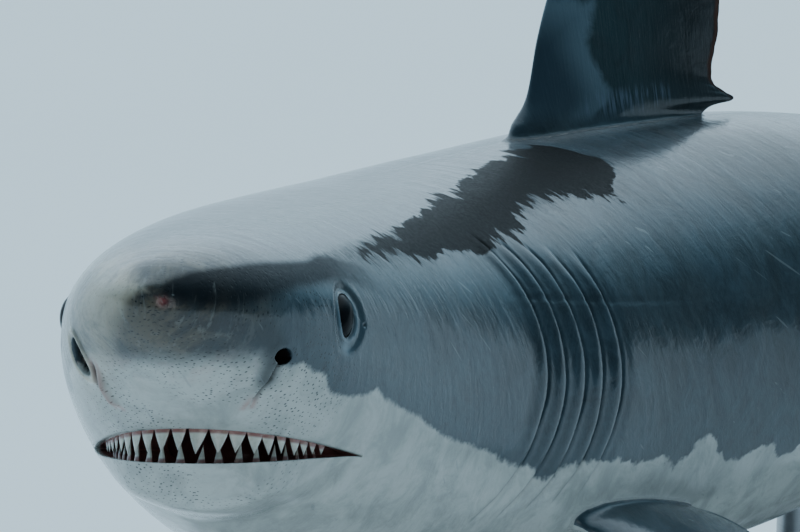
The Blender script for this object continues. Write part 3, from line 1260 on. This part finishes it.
def tooth_paint():
    paint = Paint("tooth_enamel")
    rise = paint.field("rise")
    place = paint.place()
    stain = paint.noise(place, 160.0, 3.0, 0.6)
    colour = paint.mix(paint.ramp(rise, 0.0010, 0.0045), linear(164, 112, 104), linear(232, 228, 214))
    colour = paint.over(colour, (190, 176, 148), 0.35, paint.ramp(stain, 0.45, 0.75))
    return paint.finish(Base_Color=colour, Roughness=0.3, Coat_Weight=0.6, Coat_Roughness=0.08)


def board_paint():
    """Satin near-black paint over boards, with their grain and joints just showing, and some dust."""
    paint = Paint("painted_board")
    place = paint.place()
    across = paint.node("SeparateXYZ", {0: place}).outputs["X"]
    grain = paint.noise(paint.stretched(place, (90.0, 2.2, 90.0)), 1.0, 5.0, 0.6, 0.6)
    dust = paint.noise(place, 5.0, 6.0, 0.7)
    colour = paint.mix(grain, linear(20, 21, 22), linear(30, 31, 33))
    colour = paint.over(colour, (120, 118, 112), 0.10, paint.ramp(dust, 0.40, 0.72))
    gap = paint.math("ABSOLUTE", paint.plus(paint.math("FRACT", paint.times(across, 6.25)), -0.5))
    joint = paint.ramp(gap, 0.493, 0.499)
    colour = paint.over(colour, (6, 6, 6), 0.6, joint)
    normal = paint.bumps(grain, 0.0004, 0.5)
    normal = paint.bumps(paint.math("SUBTRACT", 1.0, joint), 0.0006, 0.6, normal)
    return paint.finish(Base_Color=colour, Roughness=paint.ramp(dust, 0.3, 0.7, 0.34, 0.46), Normal=normal)


def steel_paint():
    paint = Paint("brushed_steel")
    place = paint.place()
    brushing = paint.noise(paint.stretched(place, (14.0, 14.0, 1500.0)), 1.0, 3.0, 0.6)
    smudge = paint.noise(place, 9.0, 3.0, 0.6)
    colour = paint.mix(brushing, linear(150, 152, 154), linear(188, 190, 192))
    rough = paint.plus(paint.ramp(smudge, 0.3, 0.7, 0.24, 0.34), paint.times(brushing, 0.08))
    return paint.finish(Base_Color=colour, Metallic=1.0, Roughness=rough)


def floor_paint():
    paint = Paint("pale_floor")
    place = paint.place()
    colour = paint.mix(paint.noise(place, 1.3, 3.0, 0.5), linear(236, 237, 238), linear(242, 243, 243))
    return paint.finish(Base_Color=colour, Roughness=0.75)


# ------------------------------------------------------------------ making the pieces
def present(piece, slot, material, *nodes):
    piece.data.materials.clear()
    piece.data.materials.append(material)
    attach(piece, "root")
    if nodes:
        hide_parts(*nodes)


skin, skin_fields = make_body()
store(skin, skin_fields)
carve_face(skin)
finish_face(skin)
join_fins(skin)
smooth(skin)
FLESH = [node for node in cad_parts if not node.startswith(("eye_", "stand_"))]
present(skin, "skin", skin_paint(), *FLESH)

eye_material = eye_paint()
for eye_side, eye_name in ((1, "left"), (-1, "right")):
    present(make_eye("eyeball_" + eye_name, eye_side), "eye", eye_material, "eye_" + eye_name)

tooth_material = tooth_paint()
for jaw_name, row in TOOTH_ROWS.items():
    present(make_teeth("teeth_" + jaw_name, *row, jaw_name == "upper"), "teeth", tooth_material)

present(make_base(), "stand_base", board_paint(), "stand_base")
steel = steel_paint()
for rod_name in ("front", "rear"):
    rod_node = "stand_rod_" + rod_name
    present(make_rod("display_rod_" + rod_name, rod_node), "stand_rod", steel, rod_node)

# ------------------------------------------------------------------ floor, light and camera
floor = turned("floor", [(60.0, -0.010), (60.0, -0.0005)], (0, 0, 0), 96)
floor.data.materials.append(floor_paint())


def area_light(name, place, target, size, power, colour):
    """A soft rectangular light that the camera doesn't see itself."""
    lamp = bpy.data.lights.new(name, "AREA")
    lamp.shape = "RECTANGLE"
    lamp.size, lamp.size_y, lamp.energy, lamp.color = *size, power, colour
    made = bpy.data.objects.new(name, lamp)
    made.location = place
    made.rotation_euler = (Vector(target) - Vector(place)).to_track_quat("-Z", "Y").to_euler()
    made.visible_camera = False
    bpy.context.scene.collection.objects.link(made)


GLOW_DIRECTION, GLOW_FROM, GLOW_TO = (-0.59, 0.39, 0.707), 0.28, 0.78
DIM_STRENGTH, GLOW_STRENGTH = 0.19, 3.2


def studio_world():
    """A soft studio: dim in front of the shark, and a pale glow behind and over it."""
    world = bpy.data.worlds.new("studio")
    bpy.context.scene.world = world
    world.use_nodes = True
    nodes, links = world.node_tree.nodes, world.node_tree.links
    direction = nodes.new("ShaderNodeTexCoord").outputs["Generated"]
    towards = nodes.new("ShaderNodeVectorMath")
    towards.operation = "DOT_PRODUCT"
    towards.inputs[1].default_value = GLOW_DIRECTION
    links.new(direction, towards.inputs[0])
    background = nodes["Background"]
    tint = nodes.new("ShaderNodeMix")
    tint.data_type = "RGBA"
    tint.inputs[6].default_value = linear(116, 181, 211)
    tint.inputs[7].default_value = linear(190, 215, 231)
    strength = background.inputs["Strength"]
    for start, end, socket in ((0.0, 1.0, tint.inputs[0]), (DIM_STRENGTH, GLOW_STRENGTH, strength)):
        glow = nodes.new("ShaderNodeMapRange")
        glow.interpolation_type = "SMOOTHSTEP"
        ends = {"From Min": GLOW_FROM, "From Max": GLOW_TO, "To Min": start, "To Max": end}
        for name, value in ends.items():
            glow.inputs[name].default_value = value
        links.new(towards.outputs["Value"], glow.inputs["Value"])
        links.new(glow.outputs["Result"], socket)
    links.new(tint.outputs[2], background.inputs["Color"])


studio_world()
TIP = np.array([0.3801, -1.2870, 1.4912])
area_light("fill", (5.5, -4.6, 3.4), (0.2, -0.6, 1.1), (3.0, 3.0), 40, (0.97, 0.98, 1.0))

# The camera stands 5 m from the snout tip, 45 degrees round to the left and 24 degrees over it.
CAMERA_DISTANCE, CAMERA_ROUND, CAMERA_OVER, CAMERA_LENS = 5.0, math.radians(45), math.radians(24), 182.305
TIP_PIXEL, PICTURE = (152.8, 294.4), (800, 532)
SENSOR_WIDTH, FAR_AWAY = 36, 200
pixels_per_metre = CAMERA_LENS / SENSOR_WIDTH * PICTURE[0] / CAMERA_DISTANCE
turn = np.array([[math.cos(CAMERA_ROUND), -math.sin(CAMERA_ROUND), 0],
                 [math.sin(CAMERA_ROUND), math.cos(CAMERA_ROUND), 0], [0, 0, 1]])
forward = turn @ np.array([0, math.cos(CAMERA_OVER), -math.sin(CAMERA_OVER)])
right = turn @ np.array([1, 0, 0])
upward = turn @ np.array([0, math.sin(CAMERA_OVER), math.cos(CAMERA_OVER)])
aside = (TIP_PIXEL[0] - PICTURE[0] / 2) / pixels_per_metre
above = (PICTURE[1] / 2 - TIP_PIXEL[1]) / pixels_per_metre
camera = bpy.data.objects.new("camera", bpy.data.cameras.new("camera"))
camera.data.lens, camera.data.sensor_width, camera.data.clip_end = CAMERA_LENS, SENSOR_WIDTH, FAR_AWAY
camera.location = TIP - (forward * CAMERA_DISTANCE + right * aside + upward * above)
camera.rotation_euler = Vector(forward).to_track_quat("-Z", "Y").to_euler()
bpy.context.scene.collection.objects.link(camera)
bpy.context.scene.camera = camera
